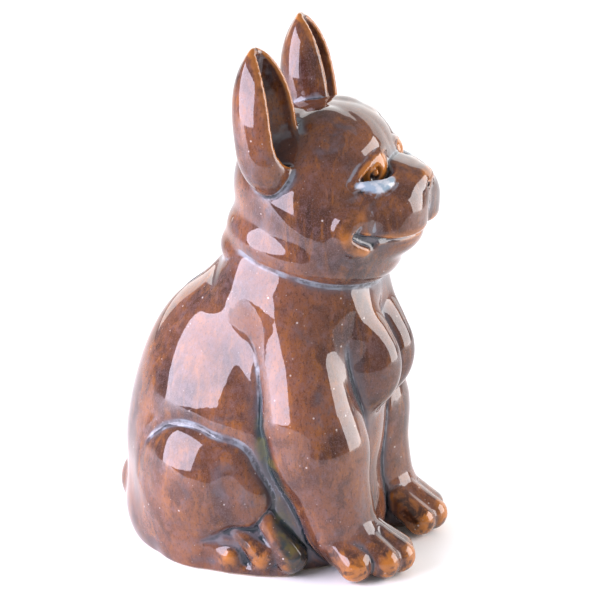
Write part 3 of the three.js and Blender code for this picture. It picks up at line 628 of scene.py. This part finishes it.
def skin(field, axes):
    """Points and quads of the surface of a field."""
    values = sample(field, axes)
    cell_shape = [n - 1 for n in values.shape]
    filled = np.zeros(cell_shape, np.int8)
    for i, j, k in CORNERS:
        filled += values[i:i + cell_shape[0], j:j + cell_shape[1], k:k + cell_shape[2]] < 0
    crossed = (filled > 0) & (filled < len(CORNERS))
    cells = np.argwhere(crossed)
    ids = np.full(cell_shape, -1)
    ids[crossed] = np.arange(len(cells))
    quads = cell_quads(values, ids)
    points = settle(field, cell_points(values, axes, cells), FIRST_REACH)
    points = settle(field, points, REACH)
    for _ in range(RELAX_ROUNDS):
        points = settle(field, relax(points, quads), REACH)
    return settle(field, points, REACH), quads


def bend(field, points, span):
    """How the surface bends at a scale of so many millimetres: over 0 on ridges, under 0 in creases."""
    around = np.zeros(len(points))
    for axis in range(3):
        for sign in (-1, 1):
            offset = np.zeros(3)
            offset[axis] = sign * span
            around += evaluate(field, points + offset)
    return around / span


def mesh_object(name, points, quads, layers):
    """A smooth mesh in metres in the shared frame, with a value of each named layer on every point."""
    mesh = bpy.data.meshes.new(name)
    mesh.from_pydata(((points + (0, SHIFT_Y, 0)) * MM).tolist(), [], quads.tolist())
    mesh.shade_smooth()
    for layer, values in layers.items():
        attribute = mesh.attributes.new(layer, "FLOAT", "POINT")
        attribute.data.foreach_set("value", values.astype(np.float32))
    made = bpy.data.objects.new(name, mesh)
    bpy.context.scene.collection.objects.link(made)
    return made


# Zones of the grid along x, y and z, fine at the face, the paws and the ears
AXES = [
    grid_lines(-52.0, [(-30, PLAIN), (30, FINE), (52, PLAIN)]),
    grid_lines(-70.0, [(-36, FINE), (54, PLAIN)]),
    grid_lines(-3.0, [(20, FINE), (104, PLAIN), (160, FINE), (192, FINE)]),
]

# Scales of the bends that the glaze follows
FINE_SPAN = 1.2
BROAD_SPAN = 4.0
WIDE_SPAN = 9.0

# The pupil darkens from its upper front to its lower back
PUPIL_SHADE = (0, 0.7, -0.7)


def glaze_layers(points):
    """Where the glaze differs: on features, with edges of the given distances, on bends, and where it ends."""
    sides = np.column_stack([np.abs(points[:, 0]), points[:, 1:]])

    def on(form, near, far):
        return 1 - ramp(evaluate(form, sides), near, far)

    inside = ramp(evaluate(outer_form, points), -0.3, -1.5)
    underneath = 1 - ramp(points[:, 2], 0.25, 0.8)
    return {
        "eye": on(eyeball, 0.05, 0.35),
        "pupil": on(pupil, 0.0, 0.4) * ramp((sides - PUPIL) @ PUPIL_SHADE, -0.6, 1.2),
        # The lower lids' pale is partly milky glaze and partly a painted highlight
        "lid_milk_and_highlight": on(lower_lid, 0.15, 0.5),
        "ear": on(ear, 0.2, 1.0),
        "web": on(flank_web, 0.0, 2.5),
        "fine_bend": bend(outer_form, points, FINE_SPAN),
        "broad_bend": bend(outer_form, points, BROAD_SPAN),
        "wide_bend": bend(outer_form, points, WIDE_SPAN),
        "bare": np.maximum(inside, underneath),
    }


dog_points, dog_quads = skin(dog, AXES)
body = mesh_object("glazed_dog", dog_points, dog_quads, glaze_layers(dog_points))
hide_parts("ceramic_body")
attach(body, "dog")


# Materials

class Graph:
    """The nodes of one material, each made and linked in one call."""

    def __init__(self, name):
        self.material = bpy.data.materials.new(name)
        self.material.use_nodes = True
        self.tree = self.material.node_tree
        self.shader = self.tree.nodes["Principled BSDF"]

    def feed(self, socket, value):
        """Links a node's output to a socket, or sets a plain value on it."""
        if isinstance(value, bpy.types.NodeSocket):
            self.tree.links.new(value, socket)
        else:
            socket.default_value = value

    def node(self, kind, inputs, output=0, **settings):
        """Makes a node of a kind, feeds its inputs and gives one of its outputs."""
        made = self.tree.nodes.new("ShaderNode" + kind)
        for key, value in settings.items():
            setattr(made, key, value)
        for key, value in inputs.items():
            self.feed(made.inputs[key], value)
        return made.outputs[output]

    def math(self, operation, a, b):
        return self.node("Math", {0: a, 1: b}, operation=operation)

    def times(self, a, b):
        return self.math("MULTIPLY", a, b)

    def rest(self, share):
        """What a share leaves of the whole."""
        return self.math("SUBTRACT", 1.0, share)

    def place(self, scale):
        """The point on the surface in millimetres, stretched by a scale in each direction."""
        raw = self.node("TexCoord", {}, "Object")
        return self.node("VectorMath", {0: raw, 1: [value / MM for value in scale]}, operation="MULTIPLY")

    def noise(self, at, size, detail=3.0, roughness=0.5, distortion=0.0):
        """Soft noise round 0.5, with features of about a size in millimetres."""
        inputs = {
            "Vector": at, "Scale": 1 / size, "Detail": detail, "Roughness": roughness, "Distortion": distortion
        }
        return self.node("TexNoise", inputs)

    def ramp(self, value, low, high):
        """Rises smoothly from 0 at low to 1 at high."""
        inputs = {"Value": value, "From Min": low, "From Max": high}
        return self.node("MapRange", inputs, interpolation_type="SMOOTHSTEP")

    def mix(self, share, first, second):
        return self.node("Mix", {0: share, 6: first, 7: second}, 2, data_type="RGBA")

    def blend(self, first, second, share, most):
        """The first colour with so much of the second as the share asks for, at most a given part."""
        return self.mix(self.times(share, most), first, second)

    def layer(self, name):
        """A layer that the mesh carries on its points."""
        return self.node("Attribute", {}, "Fac", attribute_name=name)

    def bump(self, height, strength, distance):
        return self.node("Bump", {"Height": height, "Strength": strength, "Distance": distance}, "Normal")

    def finish(self, colour, roughness, bump=None):
        """Feeds the shader and gives the material."""
        self.feed(self.shader.inputs["Base Color"], colour)
        self.feed(self.shader.inputs["Roughness"], roughness)
        if bump is not None:
            self.tree.links.new(bump, self.shader.inputs["Normal"])
        return self.material


CHESTNUT = (0.138, 0.049, 0.022, 1)
CHOCOLATE = (0.032, 0.012, 0.008, 1)
AMBER = (0.40, 0.135, 0.014, 1)
MAUVE = (0.140, 0.080, 0.080, 1)
MIST = (0.085, 0.082, 0.098, 1)
TEAL = (0.009, 0.016, 0.022, 1)
WEB_TEAL = (0.014, 0.027, 0.030, 1)
OLIVE = (0.060, 0.062, 0.018, 1)
MILK = (0.26, 0.31, 0.36, 1)
# Pale of the lower lids: partly milky glaze, partly a painted highlight
PALE_LID_AND_HIGHLIGHT = (0.52, 0.57, 0.62, 1)
LID_BLUE = (0.26, 0.36, 0.45, 1)
SPECK = (0.42, 0.36, 0.33, 1)
CLAY = (0.52, 0.40, 0.29, 1)
RUBBER_BLACK = (0.020, 0.019, 0.020, 1)
RUBBER_DUST = (0.075, 0.070, 0.066, 1)
FLOOR_WHITE = (0.9, 0.9, 0.9, 1)

# Runs and the dark grain are drawn out downward: heights count for this share
RUN_STRETCH = 0.22
GRAIN_STRETCH = 0.5

# How far the mottling moves the edges of ridges and pools
WANDER = 0.9

# Pale specks: spacing in millimetres, radius as a share of it, and how pale they are
SPECK_SETS = ((5.0, 0.09, 0.8), (2.3, 0.11, 0.45))
SPECK_CORE = 0.05

GLAZE_ROUGHNESS = 0.035
CLAY_ROUGHENS = 0.75
RUBBER_ROUGHNESS = 0.55
RUBBER_GRAIN = 0.2


def glaze_ground(g, at, mottle):
    """The glaze on a plain surface: brown clouds and runs under a fine mauve and dark grain."""
    clouds = g.ramp(g.noise(at, size=26, detail=3, roughness=0.5, distortion=0.3), 0.34, 0.64)
    glow = g.ramp(g.noise(at, size=14, detail=3, roughness=0.55, distortion=0.4), 0.48, 0.72)
    falling = g.place((1, 1, RUN_STRETCH))
    runs = g.ramp(g.noise(falling, size=3.5, detail=5, roughness=0.6, distortion=0.6), 0.45, 0.72)
    blotch = g.ramp(g.noise(at, size=8, detail=4, roughness=0.6, distortion=0.4), 0.52, 0.7)
    drawn = g.place((1, 1, GRAIN_STRETCH))
    dark_grain = g.ramp(g.noise(drawn, size=0.7, detail=3, roughness=0.65), 0.5, 0.72)
    grain = g.ramp(g.noise(at, size=0.45, detail=2, roughness=0.6), 0.45, 0.75)
    smudge = g.ramp(g.noise(at, size=12, detail=4, roughness=0.6, distortion=0.5), 0.54, 0.72)
    colour = g.mix(clouds, CHOCOLATE, CHESTNUT)
    colour = g.blend(colour, AMBER, glow, most=0.12)
    colour = g.blend(colour, AMBER, runs, most=0.3)
    colour = g.blend(colour, MAUVE, g.ramp(mottle, 0.46, 0.68), most=0.42)
    colour = g.blend(colour, CHOCOLATE, blotch, most=0.6)
    colour = g.blend(colour, CHOCOLATE, dark_grain, most=0.7)
    colour = g.blend(colour, MAUVE, grain, most=0.5)
    return g.blend(colour, MIST, smudge, most=0.4)


def glaze_ridges(g, at, colour, fine, broad, height):
    """Amber where the glaze is thin: on ridges off the ears, and in patches on the toes."""
    knuckle = g.times(g.ramp(broad, 0.6, 1.6), g.rest(g.layer("ear")))
    ridge = g.math("MAXIMUM", knuckle, g.ramp(fine, 0.3, 1.0))
    colour = g.blend(colour, AMBER, ridge, most=0.7)
    toe = g.times(g.ramp(height, 22, 12), g.ramp(broad, 0.1, 0.8))
    patches = g.noise(at, size=5, detail=4, roughness=0.6, distortion=0.5)
    colour = g.blend(colour, AMBER, g.times(toe, g.ramp(patches, 0.42, 0.62)), most=0.4)
    return g.blend(colour, CHOCOLATE, g.times(toe, g.ramp(patches, 0.52, 0.38)), most=0.85)


def glaze_pools_and_shade(g, at, colour, fine, broad, wide, height):
    """Where the glaze gathers: haze in hollows, milk on the slopes of creases, and blue-black in their depth,
    which is partly pooled glaze and partly painted shade.
    """
    off_eye = g.rest(g.layer("eye"))
    colour = g.blend(colour, MIST, g.ramp(wide, 0.0, -0.8), most=0.4)
    haze = g.times(g.ramp(broad, -0.1, -0.9), off_eye)
    colour = g.blend(colour, MIST, haze, most=0.7)
    patchy = g.times(g.ramp(g.noise(at, size=6), 0.4, 0.62), off_eye)
    off_paws = g.ramp(height, 14, 30)
    shallow = g.times(g.ramp(g.layer("fine_bend"), -0.08, -0.25), g.ramp(fine, -0.8, -0.35))
    colour = g.blend(colour, MILK, g.times(shallow, g.times(patchy, off_paws)), most=0.45)
    # Near-black in the depth of creases: partly pooled glaze, partly painted shade
    pool = g.times(g.ramp(fine, -0.3, -0.85), off_eye)
    colour = g.blend(colour, TEAL, pool, most=0.95)
    green = g.mix(g.ramp(g.noise(at, size=5), 0.45, 0.65), WEB_TEAL, OLIVE)
    return g.blend(colour, green, g.layer("web"), most=0.85)


def glaze_eyes(g, at, colour):
    """Amber eyes, blue-black pupils, and pale blue lower lids that are partly milky glaze and partly a painted
    highlight.
    """
    colour = g.blend(colour, AMBER, g.layer("eye"), most=0.8)
    colour = g.blend(colour, TEAL, g.layer("pupil"), most=0.9)
    # Pale blue lower lids: milky glaze with a painted highlight
    lid_milk_and_highlight = g.mix(g.ramp(g.noise(at, size=3, detail=2), 0.42, 0.6), LID_BLUE, PALE_LID_AND_HIGHLIGHT)
    return g.blend(colour, lid_milk_and_highlight, g.layer("lid_milk_and_highlight"), most=0.9)


def glaze_specks(g, at, colour):
    """Pale specks of two sizes, in loose swarms."""
    swarm = g.ramp(g.noise(at, size=9, detail=2), 0.42, 0.6)
    for spacing, radius, most in SPECK_SETS:
        away = g.node("TexVoronoi", {"Vector": at, "Scale": 1 / spacing}, "Distance")
        colour = g.blend(colour, SPECK, g.times(g.ramp(away, radius, SPECK_CORE), swarm), most)
    return colour


def brown_glaze():
    """Reactive glaze: amber where it is thin on ridges, milky and blue-black where it pools, with painted shade
    in the depth of creases and a partly painted highlight on the lower lids.
    """
    g = Graph("brown_glaze")
    at = g.place((1, 1, 1))
    height = g.node("SeparateXYZ", {"Vector": at}, "Z")
    mottle = g.noise(at, size=3, detail=4, roughness=0.62)
    wander = g.times(g.math("SUBTRACT", mottle, 0.5), WANDER)
    fine = g.math("ADD", g.layer("fine_bend"), wander)
    broad = g.math("ADD", g.layer("broad_bend"), wander)
    wide = g.math("ADD", g.layer("wide_bend"), wander)
    colour = glaze_ground(g, at, mottle)
    colour = glaze_ridges(g, at, colour, fine, broad, height)
    colour = glaze_pools_and_shade(g, at, colour, fine, broad, wide, height)
    colour = glaze_eyes(g, at, colour)
    colour = glaze_specks(g, at, colour)
    bare = g.layer("bare")
    colour = g.mix(bare, colour, CLAY)
    roughness = g.math("ADD", g.times(bare, CLAY_ROUGHENS), GLAZE_ROUGHNESS)
    waves = g.bump(g.noise(at, size=7, detail=2), strength=0.05, distance=0.001)
    return g.finish(colour, roughness, waves)


def stopper_rubber():
    """Matt moulded rubber with a fine grain and a little dust."""
    g = Graph("stopper_rubber")
    at = g.place((1, 1, 1))
    dust = g.ramp(g.noise(at, size=5, detail=4, roughness=0.6), 0.5, 0.8)
    grain = g.noise(at, size=0.35, detail=2, roughness=0.6)
    colour = g.blend(RUBBER_BLACK, RUBBER_DUST, dust, most=0.25)
    roughness = g.math("ADD", g.times(grain, RUBBER_GRAIN), RUBBER_ROUGHNESS)
    return g.finish(colour, roughness, g.bump(grain, strength=0.15, distance=0.0003))


body.data.materials.append(brown_glaze())
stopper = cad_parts["rubber_stopper"]
stopper.data.materials.clear()
stopper.data.materials.append(stopper_rubber())


# Floor, light and camera, in metres and degrees; azimuths are from the dog's front

CAMERA_AZIMUTH = -72
CAMERA_ELEVATION = 19
CAMERA_DISTANCE = 1.25
CAMERA_TARGET = Vector((0, (-16.5 + SHIFT_Y) * MM, 89.7 * MM))
PHOTO_PIXELS = 600
PIXELS_PER_METRE = 2850
SENSOR_MM = 36
CLIP_START = 0.01

FLOOR_AHEAD = 0.25
FLOOR_BEHIND = 2
FLOOR_ASIDE = 1.5
FLOOR_ROUGHNESS = 0.6

LIGHT_CENTRE = Vector((0, 0, 0.09))
WORLD_STRENGTH = 0.5


def toward(azimuth, elevation):
    """A direction: azimuth from the dog's front, which looks along -Y, and elevation above the table."""
    a, e = math.radians(azimuth), math.radians(elevation)
    return Vector((math.sin(a) * math.cos(e), -math.cos(a) * math.cos(e), math.sin(e)))


def add_camera():
    """The photo's camera."""
    camera = bpy.data.objects.new("camera", bpy.data.cameras.new("camera"))
    bpy.context.scene.collection.objects.link(camera)
    view = toward(CAMERA_AZIMUTH, CAMERA_ELEVATION)
    camera.location = CAMERA_TARGET + view * CAMERA_DISTANCE
    camera.rotation_mode = "QUATERNION"
    camera.rotation_quaternion = (-view).to_track_quat("-Z", "Y")
    camera.data.sensor_width = SENSOR_MM
    camera.data.lens = SENSOR_MM * PIXELS_PER_METRE * CAMERA_DISTANCE / PHOTO_PIXELS
    camera.data.clip_start = CLIP_START
    bpy.context.scene.camera = camera


def add_floor():
    """A white table that ends a little in front of the dog, on the camera's side."""
    ahead = toward(CAMERA_AZIMUTH, 0)
    aside = toward(CAMERA_AZIMUTH + 90, 0) * FLOOR_ASIDE
    front, rear = ahead * FLOOR_AHEAD, ahead * -FLOOR_BEHIND
    corners = [front - aside, front + aside, rear + aside, rear - aside]
    mesh = bpy.data.meshes.new("floor")
    mesh.from_pydata([tuple(corner) for corner in corners], [], [(0, 1, 2, 3)])
    floor = bpy.data.objects.new("floor", mesh)
    bpy.context.scene.collection.objects.link(floor)
    mesh.materials.append(Graph("floor").finish(FLOOR_WHITE, FLOOR_ROUGHNESS))


def add_softbox(name, place, aim, roll, size, radiance, colour):
    """A rectangular lamp at an azimuth, elevation and distance, whose back faces along the aim."""
    light = bpy.data.lights.new(name, "AREA")
    light.shape = "RECTANGLE"
    light.size, light.size_y = size
    light.energy = radiance * math.pi * size[0] * size[1]
    light.color = colour
    made = bpy.data.objects.new(name, light)
    bpy.context.scene.collection.objects.link(made)
    azimuth, elevation, distance = place
    made.location = LIGHT_CENTRE + toward(azimuth, elevation) * distance
    made.rotation_mode = "QUATERNION"
    turn = (-toward(*aim)).to_track_quat("-Z", "Y")
    made.rotation_quaternion = turn @ Quaternion((0, 0, 1), math.radians(roll))
    made.visible_camera = False


def add_world():
    """An even white surrounding."""
    world = bpy.data.worlds.new("studio")
    bpy.context.scene.world = world
    world.use_nodes = True
    background = world.node_tree.nodes["Background"]
    background.inputs["Color"].default_value = (1, 1, 1, 1)
    background.inputs["Strength"].default_value = WORLD_STRENGTH


add_camera()
add_floor()
add_softbox(
    "left_softbox", place=(-135, 14, 0.65), aim=(-150, 36), roll=6, size=(0.73, 0.58), radiance=11.5,
    colour=(0.86, 0.81, 1)
)
add_softbox(
    "right_softbox", place=(20, 12, 0.65), aim=(20, 20), roll=0, size=(0.50, 0.48), radiance=8,
    colour=(1, 0.95, 0.95)
)
add_softbox(
    "backdrop", place=(100, 22, 1.4), aim=(100, 0), roll=0, size=(3.0, 1.1), radiance=2, colour=(1, 1, 1)
)
add_world()
bpy.context.scene.view_settings.view_transform = "Standard"
